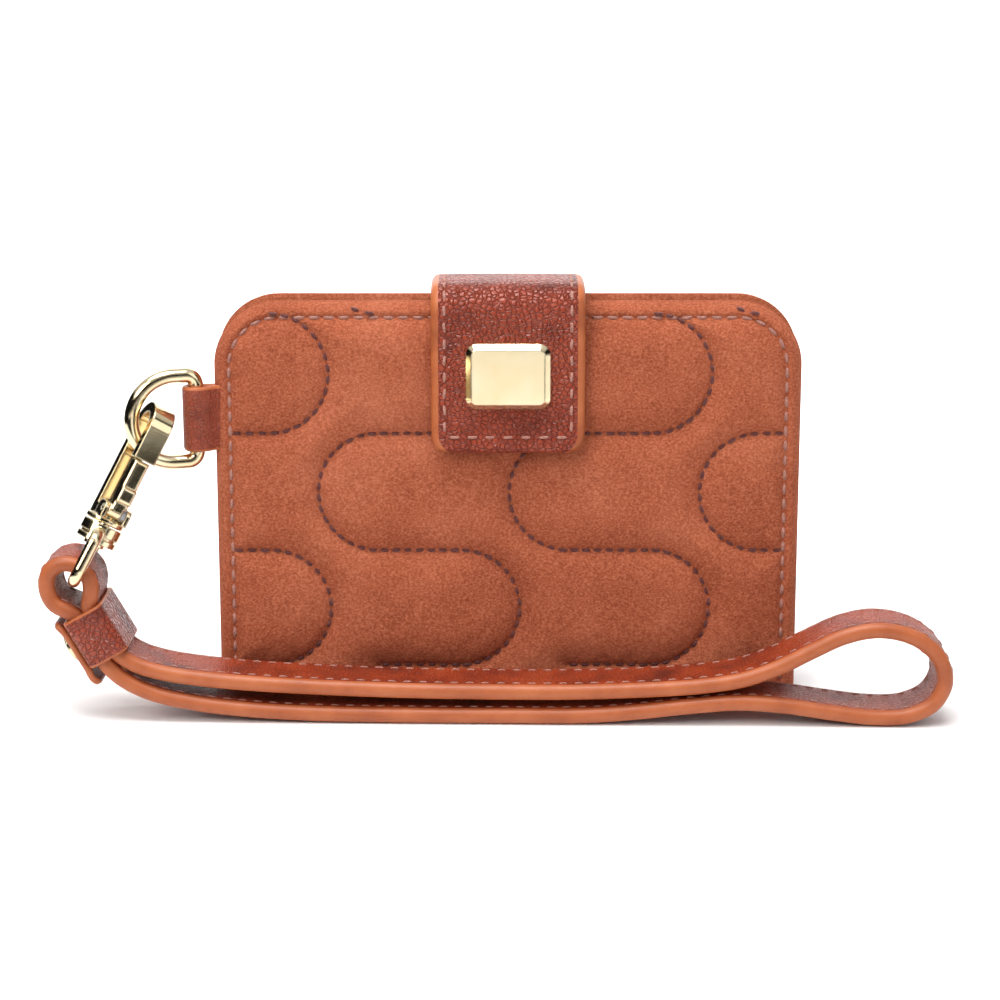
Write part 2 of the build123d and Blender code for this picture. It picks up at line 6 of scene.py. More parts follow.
import bmesh
import bpy
import numpy as np
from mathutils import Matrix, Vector


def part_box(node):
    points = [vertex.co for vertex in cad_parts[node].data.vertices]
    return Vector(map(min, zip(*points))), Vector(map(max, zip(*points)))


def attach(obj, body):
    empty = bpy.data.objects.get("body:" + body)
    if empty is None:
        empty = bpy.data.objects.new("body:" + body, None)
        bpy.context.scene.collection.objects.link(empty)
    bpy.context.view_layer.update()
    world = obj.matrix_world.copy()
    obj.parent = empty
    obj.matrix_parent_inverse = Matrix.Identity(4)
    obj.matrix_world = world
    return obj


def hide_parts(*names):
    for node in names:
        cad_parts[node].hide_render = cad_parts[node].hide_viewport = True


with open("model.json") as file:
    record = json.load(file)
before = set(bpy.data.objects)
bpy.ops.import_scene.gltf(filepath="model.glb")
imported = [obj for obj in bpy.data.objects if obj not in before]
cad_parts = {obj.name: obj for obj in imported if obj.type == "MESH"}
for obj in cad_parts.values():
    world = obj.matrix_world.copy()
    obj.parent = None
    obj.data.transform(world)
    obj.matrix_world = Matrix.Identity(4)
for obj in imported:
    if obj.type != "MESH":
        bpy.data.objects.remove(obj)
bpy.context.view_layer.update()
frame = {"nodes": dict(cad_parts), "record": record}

MM = 0.001
W, H = 115.0, 80.0               # wallet, closed, millimetres
CORNER = 12.5                    # radius of a cover's top corners
FRONT_FOOT, FRONT_TOP, FRONT_THICK = 0.2, 79.2, 3.1
BACK_FOOT, BACK_TOP, BACK_THICK = 2.5, 80.0, 4.6
Y_FRONT_FOLD, Y_BACK_FOLD = -5.05, 10.0      # lines the halves lean about
LEAN_F, LEAN_B = 2.2, 1.5        # degrees each half leans inwards
SNAP_Z, SNAP_CLEAR = 58.6, 6.4   # the snap's height, and the radius kept flat round it
rnd = random.Random(7)


# ---------------------------------------------------------------- materials
def lin(r, g, b):
    f = lambda c: c / 255 / 12.92 if c <= 10 else ((c / 255 + 0.055) / 1.055) ** 2.4
    return (f(r), f(g), f(b), 1.0)


class Nodes:
    """A small helper round one material's node tree."""

    def __init__(self, name):
        self.mat = bpy.data.materials.new(name)
        self.mat.use_nodes = True
        self.t = self.mat.node_tree
        self.bsdf = self.t.nodes["Principled BSDF"]
        self.co = self.add("ShaderNodeTexCoord").outputs["Object"]

    def add(self, kind, **inputs):
        n = self.t.nodes.new(kind)
        for k, v in inputs.items():
            self.put(n.inputs[k.replace("_", " ")], v)
        return n

    def put(self, socket, value):
        if isinstance(value, bpy.types.NodeSocket):
            self.t.links.new(value, socket)
        else:
            socket.default_value = value

    def noise(self, scale, detail=4.0, rough=0.55, stretch=None):
        co = self.co
        if stretch:
            m = self.add("ShaderNodeMapping", Vector=co)
            m.inputs["Scale"].default_value = stretch
            co = m.outputs["Vector"]
        n = self.add("ShaderNodeTexNoise", Vector=co, Scale=scale, Detail=detail, Roughness=rough)
        return n.outputs["Fac"]

    def ramp(self, fac, stops):
        r = self.add("ShaderNodeValToRGB", Fac=fac)
        e = r.color_ramp.elements
        while len(e) < len(stops):
            e.new(0.5)
        for el, (pos, col) in zip(e, stops):
            el.position, el.color = pos, col
        return r.outputs["Color"]

    def math(self, op, a, b):
        n = self.t.nodes.new("ShaderNodeMath")
        n.operation = op
        self.put(n.inputs[0], a)
        self.put(n.inputs[1], b)
        return n.outputs[0]

    def mix(self, fac, a, b, kind="MIX"):
        n = self.t.nodes.new("ShaderNodeMixRGB")
        n.blend_type = kind
        self.put(n.inputs[0], fac)
        self.put(n.inputs[1], a)
        self.put(n.inputs[2], b)
        return n.outputs[0]

    def bump(self, height, distance, strength=1.0, normal=None):
        b = self.add("ShaderNodeBump", Height=height, Distance=distance, Strength=strength)
        if normal is not None:
            self.put(b.inputs["Normal"], normal)
        return b.outputs["Normal"]

    def done(self, color, rough, normal, **plain):
        self.put(self.bsdf.inputs["Base Color"], color)
        self.put(self.bsdf.inputs["Roughness"], rough)
        if normal is not None:
            self.put(self.bsdf.inputs["Normal"], normal)
        for k, v in plain.items():
            self.bsdf.inputs[k.replace("_", " ")].default_value = v
        return self.mat


def grey(v):
    return (v, v, v, 1.0)


def suede(name, dark, mid, light):
    n = Nodes(name)
    broad = n.noise(55, 3, 0.5)
    nap = n.noise(1900, 4, 0.75, (1, 1, 1.3))
    fibre = n.noise(4200, 3, 0.6)
    col = n.ramp(broad, [(0.2, dark), (0.5, mid), (0.8, light)])
    speck = n.ramp(nap, [(0.36, dark), (0.5, mid), (0.64, light)])
    col = n.mix(0.6, col, speck)
    h = n.math("ADD", n.math("MULTIPLY", nap, 0.8), n.math("MULTIPLY", fibre, 0.5))
    nor = n.bump(h, 0.00022, 0.9)
    rough = n.ramp(nap, [(0, grey(0.82)), (1, grey(0.98))])
    return n.done(col, rough, nor, Sheen_Weight=0.35, Sheen_Roughness=0.45, Sheen_Tint=light,
                  Specular_IOR_Level=0.2)


def pebbled(name, dark, mid, light, cell=0.9, depth=0.1, rough=(0.36, 0.55)):
    n = Nodes(name)
    warp = n.add("ShaderNodeTexNoise", Vector=n.co, Scale=500.0, Detail=2.0)
    off = n.t.nodes.new("ShaderNodeVectorMath")
    off.operation = "MULTIPLY_ADD"
    n.put(off.inputs[0], warp.outputs["Color"])
    off.inputs[1].default_value = (cell * MM * 0.7,) * 3
    n.put(off.inputs[2], n.co)
    v = n.add("ShaderNodeTexVoronoi", Vector=off.outputs[0], Scale=1000.0 / cell)
    v.feature = "SMOOTH_F1"
    v.inputs["Smoothness"].default_value = 0.35
    e = n.add("ShaderNodeTexVoronoi", Vector=off.outputs[0], Scale=1000.0 / cell)
    e.feature = "DISTANCE_TO_EDGE"
    edge = n.add("ShaderNodeMapRange")
    n.put(edge.inputs["Value"], e.outputs["Distance"])
    edge.inputs["From Max"].default_value = 0.16
    crease = edge.outputs["Result"]
    dome = n.math("SUBTRACT", 1.0, v.outputs["Distance"])
    fine = n.noise(4200, 3, 0.6)
    broad = n.noise(110, 3, 0.5)
    h = n.math("ADD", n.math("MULTIPLY", crease, 0.7), n.math("MULTIPLY", dome, 0.5))
    h = n.math("ADD", h, n.math("MULTIPLY", fine, 0.12))
    col = n.ramp(broad, [(0.3, dark), (0.5, mid), (0.7, light)])
    # painted shade: the creases between the pebbles are darkened towards the dark tone, on top of the bump
    col = n.mix(n.math("MULTIPLY", n.math("SUBTRACT", 1.0, crease), 0.45), col, dark)
    r = n.ramp(crease, [(0, grey(rough[1])), (1, grey(rough[0]))])
    return n.done(col, r, n.bump(h, depth * MM, 0.9), Specular_IOR_Level=0.5)


def smooth_leather(name, dark, mid, light, rough=0.5, grain=0.03):
    n = Nodes(name)
    fine = n.noise(2600, 5, 0.65)
    broad = n.noise(140, 4, 0.55)
    col = n.ramp(broad, [(0.3, dark), (0.5, mid), (0.72, light)])
    col = n.mix(n.math("MULTIPLY", fine, 0.25), col, dark)
    r = n.ramp(fine, [(0.2, grey(rough - 0.08)), (0.8, grey(rough + 0.1))])
    return n.done(col, r, n.bump(fine, grain * MM, 0.8), Specular_IOR_Level=0.45)


def metal(name, col_a, col_b, rough=0.07, scratch=0.004):
    n = Nodes(name)
    fine = n.noise(1500, 4, 0.6, (1, 1, 4))
    broad = n.noise(160, 2, 0.5)
    r = n.ramp(broad, [(0.25, grey(rough)), (0.8, grey(rough * 2.0))])
    soft = n.t.nodes.new("ShaderNodeBevel")
    soft.samples = 4
    soft.inputs["Radius"].default_value = 0.45 * MM
    nor = n.bump(fine, scratch * MM, 0.5, soft.outputs["Normal"])
    return n.done(n.ramp(broad, [(0.3, col_a), (0.7, col_b)]), r, nor, Metallic=1.0)


def woven(name, dark, light, pitch=0.5):
    n = Nodes(name)
    k = 1000.0 / pitch / 6.28 * 3.1416
    parts = []
    for axis in ("X", "Z"):
        wv = n.add("ShaderNodeTexWave", Vector=n.co, Scale=k / 3.14)
        wv.bands_direction = axis
        parts.append(wv.outputs["Fac"])
    h = n.math("MULTIPLY", parts[0], parts[1])
    col = n.mix(n.math("ADD", h, n.math("MULTIPLY", n.noise(2000), 0.3)), dark, light)
    return n.done(col, n.ramp(h, [(0, grey(0.95)), (1, grey(0.8))]), n.bump(h, 0.0001), Sheen_Weight=0.2)


def thread(name, dark, light):
    n = Nodes(name)
    tw = n.noise(5200, 3, 0.6, (1, 1, 3))
    return n.done(n.ramp(tw, [(0.3, dark), (0.7, light)]), n.ramp(tw, [(0, grey(0.5)), (1, grey(0.75))]),
                  n.bump(tw, 0.00005), Sheen_Weight=0.3)


SUEDE = suede("suede_brown", lin(112, 48, 27), lin(160, 84, 56), lin(196, 118, 88))
PEBBLE = pebbled("pebbled_tab_leather", lin(102, 34, 17), lin(146, 57, 34), lin(160, 69, 44), 1.0, 0.45,
                 (0.3, 0.5))
LOOPHIDE = pebbled("pebbled_loop_leather", lin(98, 34, 16), lin(138, 56, 30), lin(156, 70, 42), 0.9, 0.16)
STRAPHIDE = pebbled("strap_leather", lin(90, 25, 5), lin(142, 49, 13), lin(158, 63, 24), 0.8, 0.12,
                    (0.42, 0.6))
TABEDGE = smooth_leather("painted_edge_ochre", lin(150, 76, 38), lin(178, 96, 52), lin(192, 110, 64), 0.42)
STRAPEDGE = smooth_leather("painted_edge_orange", lin(158, 80, 42), lin(174, 93, 52), lin(184, 104, 62),
                           0.42)
LINING = smooth_leather("lining_leather", lin(134, 72, 48), lin(148, 82, 57), lin(158, 91, 65), 0.55)
THREAD = thread("thread_maroon", lin(58, 14, 10), lin(112, 40, 30))
THREAD_EDGE = thread("thread_edge", lin(84, 30, 22), lin(206, 146, 128))
THREAD_PINK = thread("thread_pinkish", lin(112, 46, 34), lin(206, 150, 132))
GOLD = metal("polished_pale_gold", lin(232, 212, 170), lin(242, 226, 190))
SATIN = metal("satin_brass", lin(206, 178, 128), lin(222, 196, 150), 0.28, 0.01)
STEEL = metal("spring_steel", lin(150, 150, 152), lin(176, 176, 178), 0.25, 0.01)
TAPE = woven("zip_tape_weave", lin(58, 26, 16), lin(92, 48, 32))


# ---------------------------------------------------------------- mesh helpers
def make(name, verts, faces, mats, index=None, body=None, replaces=(), slot=None, smooth=True):
    """A mesh object from points in millimetres."""
    me = bpy.data.meshes.new(name)
    me.from_pydata([tuple(float(c) * MM for c in p) for p in verts], [],
                   [tuple(int(i) for i in f) for f in faces])
    for m in mats:
        me.materials.append(m)
    if index is not None:
        me.polygons.foreach_set("material_index", np.array(index, np.int32))
    me.polygons.foreach_set("use_smooth", np.full(len(me.polygons), smooth))
    me.update()
    ob = bpy.data.objects.new(name, me)
    bpy.context.scene.collection.objects.link(ob)
    if replaces:
        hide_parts(*replaces)
    if body:
        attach(ob, body)
    return ob


def turned(points, y0, degrees):
    """Points turned about the line y = y0, z = 0 along X; positive leans the top forward."""
    a = math.radians(degrees)
    p = np.array(points, float)
    y, z = p[:, 1] - y0, p[:, 2].copy()
    p[:, 1] = y0 + y * math.cos(a) - z * math.sin(a)
    p[:, 2] = y * math.sin(a) + z * math.cos(a)
    return p


def smooth_path(points, closed, steps=6):
    """A centripetal Catmull-Rom curve through the points."""
    pts = [np.array(p, float) for p in points]
    n, out = len(pts), []
    for i in range(n if closed else n - 1):
        q = [pts[(i + k) % n] if closed else pts[min(max(i + k, 0), n - 1)] for k in (-1, 0, 1, 2)]
        t = [0.0]
        for a, b in zip(q, q[1:]):
            t.append(t[-1] + max(float(np.linalg.norm(b - a)), 1e-3) ** 0.5)
        for j in range(steps):
            u = t[1] + (t[2] - t[1]) * j / steps
            a1 = [q[k] + (q[k + 1] - q[k]) * (u - t[k]) / (t[k + 1] - t[k]) for k in range(3)]
            b1 = [a1[k] + (a1[k + 1] - a1[k]) * (u - t[k]) / (t[k + 2] - t[k]) for k in range(2)]
            out.append(b1[0] + (b1[1] - b1[0]) * (u - t[1]) / (t[2] - t[1]))
    if not closed:
        out.append(pts[-1])
    return np.array(out)


def resample(path, step, closed=False):
    p = np.vstack([path, path[:1]]) if closed else path
    d = np.concatenate([[0], np.cumsum(np.linalg.norm(np.diff(p, axis=0), axis=1))])
    n = max(2, int(round(d[-1] / step)) + 1)
    at = np.linspace(0, d[-1], n)
    out = np.stack([np.interp(at, d, p[:, k]) for k in range(p.shape[1])], axis=1)
    return out[:-1] if closed else out


def ribbon(name, path, side, half, thick, mats, closed=False, edge=None, crown=0.0, **kw):
    """A leather strip swept along path: mats are outer face, edge and inner face.

    side is the direction across the strip; the outer face is on side x tangent.
    half and thick may be arrays.
    """
    path = np.array(path, float)
    k = len(path)
    half, thick = np.broadcast_to(half, k).astype(float), np.broadcast_to(thick, k).astype(float)
    if closed:
        tan = np.roll(path, -1, 0) - np.roll(path, 1, 0)
    else:
        tan = np.gradient(path, axis=0)
    tan /= np.linalg.norm(tan, axis=1)[:, None]
    side = np.array(side, float) / np.linalg.norm(side)
    nor = np.cross(side, tan)
    nor /= np.linalg.norm(nor, axis=1)[:, None]
    sec, kinds = [], []
    across, arc = 14, 5
    for i in range(across):
        sec.append((-1 + 2 * i / across, 0.0, 0.5))
        kinds.append(0)
    for i in range(arc):
        a = math.pi * i / arc
        sec.append((1, math.sin(a), 0.5 * math.cos(a)))
        kinds.append(1)
    for i in range(6):
        sec.append((1 - 2 * i / 6, 0.0, -0.5))
        kinds.append(2)
    for i in range(arc):
        a = math.pi * i / arc
        sec.append((-1, -math.sin(a), -0.5 * math.cos(a)))
        kinds.append(1)
    m = len(sec)
    verts = []
    for i in range(k):
        r = (edge if edge else 0.5) * thick[i]
        flat = max(half[i] - r, 0.01)
        for s, o, b in sec:
            lift = crown * (1 - s * s) if b > 0 and o == 0 else 0
            verts.append(path[i] + side * (s * flat + o * r) + nor[i] * (b * thick[i] + lift))
    faces, idx = [], []
    for i in range(k if closed else k - 1):
        for j in range(m):
            a, b = i * m + j, i * m + (j + 1) % m
            c, d = ((i + 1) % k) * m + (j + 1) % m, ((i + 1) % k) * m + j
            faces.append((a, d, c, b))
            idx.append(kinds[j])
    if not closed:
        faces.append(tuple(range(m)))
        faces.append(tuple((k - 1) * m + j for j in reversed(range(m))))
        idx += [1, 1]
    ob = make(name, verts, faces, mats, idx, **kw)
    return ob, (path, tan, nor, side)


def stitch_mesh(name, spots, length, radius, body, mat=None):
    """One object holding a run of stitches; each spot is (middle, along, out of the surface)."""
    verts, faces = [], []
    rings, seg = 7, 7
    for mid, along, out in spots:
        along = along / np.linalg.norm(along)
        out = out - along * float(np.dot(out, along))
        out /= np.linalg.norm(out)
        across = np.cross(along, out)
        tip = rnd.uniform(-0.07, 0.07)
        along = along + across * tip
        base = len(verts)
        for i in range(rings):
            f = i / (rings - 1) * 2 - 1
            r = radius * math.sqrt(max(1 - abs(f) ** 3.2, 0.02))
            c = mid + along * (f * length / 2) - out * (radius * 0.9 * abs(f) ** 2.4)
            for j in range(seg):
                a = 2 * math.pi * j / seg
                verts.append(c + across * (r * math.cos(a)) + out * (r * 0.85 * math.sin(a)))
        for i in range(rings - 1):
            for j in range(seg):
                a, b = base + i * seg + j, base + i * seg + (j + 1) % seg
                faces.append((a, b, b + seg, a + seg))
        faces.append(tuple(base + j for j in reversed(range(seg))))
        faces.append(tuple(base + (rings - 1) * seg + j for j in range(seg)))
    return make(name, verts, faces, [mat or THREAD], None, body=body)


def along_path(path, pitch, phase=0.5):
    """Evenly spaced (middle, tangent) along a path."""
    d = np.concatenate([[0], np.cumsum(np.linalg.norm(np.diff(path, axis=0), axis=1))])
    n = max(1, int(d[-1] / pitch))
    for i in range(n):
        s = (i + phase) * d[-1] / n
        a, b = max(s - 0.4, 0), min(s + 0.4, d[-1])
        pa, pb, pm = (np.array([np.interp(v, d, path[:, k]) for k in range(path.shape[1])])
                      for v in (a, b, s))
        yield pm, pb - pa


# ---------------------------------------------------------------- quilted covers
FRONT, BACK, UPRIGHT = (Y_FRONT_FOLD, -LEAN_F), (Y_BACK_FOLD, LEAN_B), (0.0, 0.0)    # line leant about, degrees
ROW = 23.5
LEVELS = [77.0 - ROW * i for i in range(4)]
RIGHT = (-46.9, -9.4, 28.2)      # arcs that bulge right start and end here
LEFT = (-25.6, 12.0, 49.5)       # and those that bulge left
QR = ROW / 2
EDGE_IN = 3.0
FACE = 8.65


def quilt_lines():
    """The sewn lines of one cover, as polylines in x and z."""
    out = []
    for row in range(-1, 3):
        zc = LEVELS[0] - ROW * (row + 0.5)
        for xc in (RIGHT if row % 2 == 0 else LEFT):
            s = 1 if row % 2 == 0 else -1
            a = np.linspace(-math.pi / 2, math.pi / 2, 40)
            line = np.stack([xc + s * QR * np.cos(a), zc + QR * np.sin(a)], 1)
            out.append(line[(line[:, 1] < 78.4) & (line[:, 1] > 1.5) & (abs(line[:, 0]) < W / 2 - EDGE_IN)])
    for z in LEVELS[1:]:
        for a, b in ((-W / 2 + EDGE_IN, RIGHT[0]), (LEFT[0], RIGHT[1]), (LEFT[1], RIGHT[2]),
                     (LEFT[2], W / 2 - EDGE_IN)):
            x = np.linspace(a, b, 20)
            out.append(np.stack([x, np.full(20, z)], 1))
    return [p for p in out if len(p) > 3]


def outline(inset, r, top, bottom=0.0):
    """A cover's outline moved in by inset, from the lower left round to the lower right."""
    x1, z1 = W / 2 - inset, top - inset
    pts = [(-x1, bottom + inset)]
    for k in range(13):
        a = math.pi - math.pi / 2 * k / 12
        pts.append((-x1 + r + r * math.cos(a), z1 - r + r * math.sin(a)))
    for k in range(13):
        a = math.pi / 2 - math.pi / 2 * k / 12
        pts.append((x1 - r + r * math.cos(a), z1 - r + r * math.sin(a)))
    pts += [(x1, bottom + inset)]
    return np.array(pts)


def distance(px, pz, line):
    best = np.full(px.shape, 1e9)
    for (ax, az), (bx, bz) in zip(line, line[1:]):
        dx, dz = bx - ax, bz - az
        t = np.clip(((px - ax) * dx + (pz - az) * dz) / max(dx * dx + dz * dz, 1e-9), 0, 1)
        best = np.minimum(best, np.hypot(px - ax - t * dx, pz - az - t * dz))
    return best


SEAMS = quilt_lines()
TOPSTITCH = outline(EDGE_IN, CORNER - EDGE_IN, FRONT_TOP)
waves = [(rnd.uniform(0.25, 1.3), rnd.uniform(0, 6.28), rnd.uniform(0, 6.28)) for _ in range(14)]


def ripple(x, z):
    s = 0
    for f, a, p in waves:
        s = s + np.sin(f * (x * math.cos(a) + z * math.sin(a)) * 1.6 + p)
    return s / len(waves) ** 0.5 / 1.4


def puff(x, z, top):
    """Height of the quilted face above its sewn lines; the front's is pressed under the snap."""
    d = np.full(x.shape, 1e9)
    for line in SEAMS:
        d = np.minimum(d, distance(x, z, line))
    dt = distance(x, z, TOPSTITCH)
    inside = (abs(x) < W / 2 - EDGE_IN) & (z < top - EDGE_IN)
    dd = np.minimum(d, dt)
    pillow = 1.7 * (1 - (1 - np.clip(dd / 8.0, 0, 1)) ** 2.6)
    pillow = pillow - 0.42 * np.exp(-(dd / 0.6) ** 2)
    roll = 0.85 * np.sin(np.clip(dt / 2.4, 0, 1) * math.pi * 0.5) - 0.42 * np.exp(-(dt / 0.6) ** 2)
    h = np.where(inside, pillow, roll)
    pucker = 0.17 * ripple(x * 2.3, z * 2.3) * np.exp(-dd / 2.2) + 0.09 * ripple(x, z)
    h = h + pucker * np.clip(dt / 1.0, 0.3, 1)
    if top == FRONT_TOP:
        free = np.clip((np.hypot(x, z - SNAP_Z) - SNAP_CLEAR) / 4.0, 0, 1)
        h = np.minimum(h, 0.75 + free * 3.0)
    return h


ROLL = 2.5


def rolled(x, z, top, z0):
    """How far the face has turned back near a cover's edge, and how near that edge is."""
    rim = outline(0, CORNER, top, z0)
    away = distance(x, z, np.vstack([rim, rim[:1]]))
    c = np.clip(away, 0, ROLL)
    return ROLL - np.sqrt(np.maximum(ROLL ** 2 - (ROLL - c) ** 2, 0)), away


def curl(z, front):
    """How far a cover's top margin bends towards the other cover, along Y."""
    return (2.5 if front else -1.0) * np.clip((np.asarray(z) - 70.0) / 9.5, 0, 1) ** 2


def cover(name, front, top, z0, thick, body, replaces):
    """A quilted, rolled-edge cover; front faces -Y, otherwise +Y."""
    step = 0.42
    a = np.linspace(0, math.pi / 2, 8)
    ease = ROLL * (1 - np.cos(a))[1:]

    def axis(lo, hi):
        inner = np.linspace(lo + ROLL, hi - ROLL, int((hi - lo - 2 * ROLL) / step))
        return np.concatenate([[lo], lo + ease[:-1], inner, hi - ease[:-1][::-1], [hi]])

    us, zs = axis(-W / 2, W / 2), axis(z0, top)
    gx, gz = np.meshgrid(us, zs)
    over = np.clip(gz - (top - CORNER), 0, CORNER)
    w_at = W / 2 - CORNER + np.sqrt(np.maximum(CORNER ** 2 - over ** 2, 0))
    gx = gx / (W / 2) * w_at
    depth, away = rolled(gx, gz, top, z0)
    y = FACE + puff(gx, gz, top) * np.clip(away / ROLL, 0, 1) - depth
    rows, cols = gx.shape
    verts = np.stack([gx.ravel(), (-y if front else y).ravel(), gz.ravel()], 1).tolist()
    ring = [(0, j) for j in range(cols)] + [(i, cols - 1) for i in range(1, rows)]
    ring += [(rows - 1, j) for j in range(cols - 2, -1, -1)] + [(i, 0) for i in range(rows - 2, 0, -1)]
    ids = [i * cols + j for i, j in ring]
    faces = [(i * cols + j, i * cols + j + 1, (i + 1) * cols + j + 1, (i + 1) * cols + j)
             for i in range(rows - 1) for j in range(cols - 1)]
    back = Y_BACK_FOLD - thick
    last = ids
    for f in (0.55, 1.0):
        base = len(verts)
        for i in ids:
            x, yy, z = verts[i]
            verts.append((x, yy + ((-back if front else back) - yy) * f, z))
        new = list(range(base, base + len(ids)))
        for k in range(len(ids)):
            q = (k + 1) % len(ids)
            faces.append((last[q], last[k], new[k], new[q]))
        last = new
    n = len(last)
    lhs = [last[-i % n] for i in range(rows)]
    rhs = [last[cols - 1 + i] for i in range(rows)]
    faces.append(tuple(reversed([lhs[1]] + last[:cols] + [rhs[1]])))
    faces += [(rhs[i + 1], rhs[i], lhs[i], lhs[i + 1]) for i in range(1, rows - 2)]
    faces.append(tuple(reversed([lhs[-2], rhs[-2]] + last[cols + rows - 2:2 * cols + rows - 2])))
    if not front:
        faces = [tuple(reversed(f)) for f in faces]
    verts = np.array(verts)
    verts[:, 1] += curl(verts[:, 2], front)
    verts = turned(verts, *(FRONT if front else BACK))
    ob = make(name, verts, faces, [SUEDE], None, body=body, replaces=replaces, slot="suede")
    return ob


def surface_spots(lines, front, top, pitch, sink):
    """Stitch places on a cover's face."""
    spots = []
    for line in lines:
        for (x, z), (tx, tz) in along_path(line, pitch):
            X, Z = np.array([x, x + 0.2, x]), np.array([z, z, z + 0.2])
            depth, away = rolled(X, Z, top, FRONT_FOOT if front else BACK_FOOT)
            h = FACE + puff(X, Z, top) * np.clip(away / ROLL, 0, 1) - depth - sink
            y = (-h if front else h) + curl(z, front)
            p = np.array([[x, y[0], z]])
            t = np.array([[tx, 0.0, tz]])
            o = np.array([[0.0, -1.0 if front else 1.0, 0.0]])
            y0, deg = FRONT if front else BACK
            p = turned(p, y0, deg)[0]
            t = turned(t + [[0, y0, 0]], y0, deg)[0] - [0, y0, 0]
            o = turned(o + [[0, y0, 0]], y0, deg)[0] - [0, y0, 0]
            spots.append((p, t, o))
    return spots


cover("front_cover_suede", True, FRONT_TOP, FRONT_FOOT, FRONT_THICK, "front_half",
      ("front_cover", "front_wadding"))
cover("back_cover_suede", False, BACK_TOP, BACK_FOOT, BACK_THICK, "back_half",
      ("back_cover", "back_wadding"))
for tag, is_front, top in (("front", True, FRONT_TOP), ("back", False, BACK_TOP)):
    quilt = surface_spots(SEAMS, is_front, top, 2.2, -0.28)
    stitch_mesh(tag + "_quilt_stitches", quilt, 1.85, 0.39, tag + "_half")
    margin = surface_spots([TOPSTITCH], is_front, top, 2.9, -0.32)
    stitch_mesh(tag + "_edge_stitches", margin, 2.3, 0.36, tag + "_half", THREAD_EDGE)


# ---------------------------------------------------------------- flat leather panels
def bend(ob, front, lean):
    """Cuts a panel into strips near its top, curls it with its cover and leans it."""
    bm = bmesh.new()
    bm.from_mesh(ob.data)
    for z in np.linspace(70.0, 77.0, 8):
        bmesh.ops.bisect_plane(bm, geom=bm.verts[:] + bm.edges[:] + bm.faces[:], plane_co=(0, 0, z * MM),
                               plane_no=(0, 0, 1))
    for v in bm.verts:
        v.co.y += float(curl(v.co.z / MM, front)) * MM
    about, deg = lean
    for v in bm.verts:
        v.co = turned([v.co / MM], about, deg)[0] * MM
    bm.to_mesh(ob.data)
    bm.free()


def panel(name, node, mat, w, z0, z1, y0, y1, r_top, r_bot, lean, body, slot, bevel=0.2,
          stitched=None, curled=None):
    """A leather panel of the same size as its CAD slab, with softened edges and a sewn margin."""
    pts = []
    for cx, cz, r, a0 in ((1, 1, r_top, 0), (-1, 1, r_top, 90), (-1, -1, r_bot, 180), (1, -1, r_bot, 270)):
        r = max(r, 0.2)
        x, z = cx * (w / 2 - r), (z1 - r if cz > 0 else z0 + r)
        for k in range(9):
            a = math.radians(a0 + 90 * k / 8)
            pts.append((x + r * math.cos(a), z + r * math.sin(a)))
    n = len(pts)
    b = min(bevel, (y1 - y0) * 0.45)
    verts, faces = [], []
    rings = [(y0, b), (y0 + b * 0.3, b * 0.3), (y0 + b, 0), (y1 - b, 0), (y1 - b * 0.3, b * 0.3), (y1, b)]
    middle = (z0 + z1) / 2
    for y, ins in rings:
        for x, z in pts:
            verts.append((x - math.copysign(ins, x), y, z - math.copysign(ins, z - middle)))
    for k in range(len(rings) - 1):
        for i in range(n):
            j = (i + 1) % n
            faces.append((k * n + i, k * n + j, (k + 1) * n + j, (k + 1) * n + i))
    faces.append(tuple(range(n - 1, -1, -1)))
    faces.append(tuple((len(rings) - 1) * n + i for i in range(n)))
    about, deg = lean
    flat = verts if curled is not None else turned(verts, about, deg)
    ob = make(name, flat, faces, [mat], None, body=body, replaces=(node,), slot=slot)
    ob.data.polygons[-1].use_smooth = ob.data.polygons[-2].use_smooth = False
    if curled is not None:
        bend(ob, curled, lean)
    if stitched:
        face_y, out, ins = stitched
        line = resample(np.array([(-w / 2 + ins, z1 - ins), (w / 2 - ins, z1 - ins)]), 1.0)
        spots = []
        for (x, z), t in along_path(line, 2.6):
            p = turned([[x, face_y + out * 0.06, z]], about, deg)[0]
            spots.append((p, np.array([t[0], 0, t[1]]), np.array([0, out, 0.0])))
        stitch_mesh(name + "_stitches", spots, 1.8, 0.15, body)
    return ob


yi = Y_FRONT_FOLD - 0.1
panel("slip_pocket_leather", "front_slip_pocket", LINING, W - 9, 2.4, 60, yi - 0.65, yi, 3, 1.5, FRONT,
      "front_half", "lining", stitched=(yi, 1, 2.0))
panel("front_lining_leather", "front_lining", LINING, W - 4, 1.0, H - 2.2, yi - 1.5, yi - 0.7, 10.5, 1.5,
      FRONT, "front_half", "lining", curled=True)
panel("back_lining_leather", "back_lining", LINING, W - 4, 2.45, H - 2.2, 10 - 4.6 - 0.85, 10 - 4.65,
      10.5, 0.8, BACK, "back_half", "lining", curled=False)
ys = Y_FRONT_FOLD + 0.15
for i, (zt, zl) in enumerate(((46.0, 8.0), (54.0, 16.0), (62.0, 24.0))):
    panel("card_slot_leather_%d" % (i + 1), "card_slot_%d" % (i + 1), LINING, W - 13, zl, zt, ys + i * 0.7,
          ys + i * 0.7 + 0.65, 2, 2, FRONT, "back_half", "lining", stitched=(ys + i * 0.7, -1, 1.8))
panel("card_panel_leather", "card_panel", LINING, W - 7, 4.0, H - 6, ys + 2.1, ys + 2.75, 9.5, 2, FRONT,
      "back_half", "lining")
for node in ("zip_tape_front", "zip_tape_back"):
    lo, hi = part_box(node)
    panel(node + "_cloth", node, TAPE, (hi.x - lo.x) / MM, lo.z / MM, hi.z / MM, lo.y / MM, hi.y / MM,
          0.3, 0.3, UPRIGHT, "back_half", "zip_tape", bevel=0.1)


